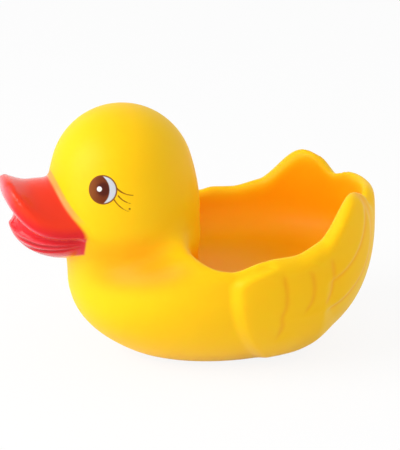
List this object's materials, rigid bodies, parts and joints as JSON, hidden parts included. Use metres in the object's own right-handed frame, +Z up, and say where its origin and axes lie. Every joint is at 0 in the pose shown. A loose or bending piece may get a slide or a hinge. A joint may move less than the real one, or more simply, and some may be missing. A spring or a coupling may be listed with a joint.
{
  "type": "rubber duck",
  "caption": "Hollow soft vinyl bath duck with a broad red bill, folded wings and an open basin in its back that carries small toys.",
  "frame": {"origin": "middle of the flat belly face, under the middle of the body", "axes": "-Y towards the bill, +X towards the duck's left side, +Z up"},
  "size_m": [0.1108, 0.1566, 0.1061],
  "materials": {
    "vinyl": "satin"
  },
  "bodies": {
    "root": {"duck": "vinyl"}
  },
  "joints": []
}
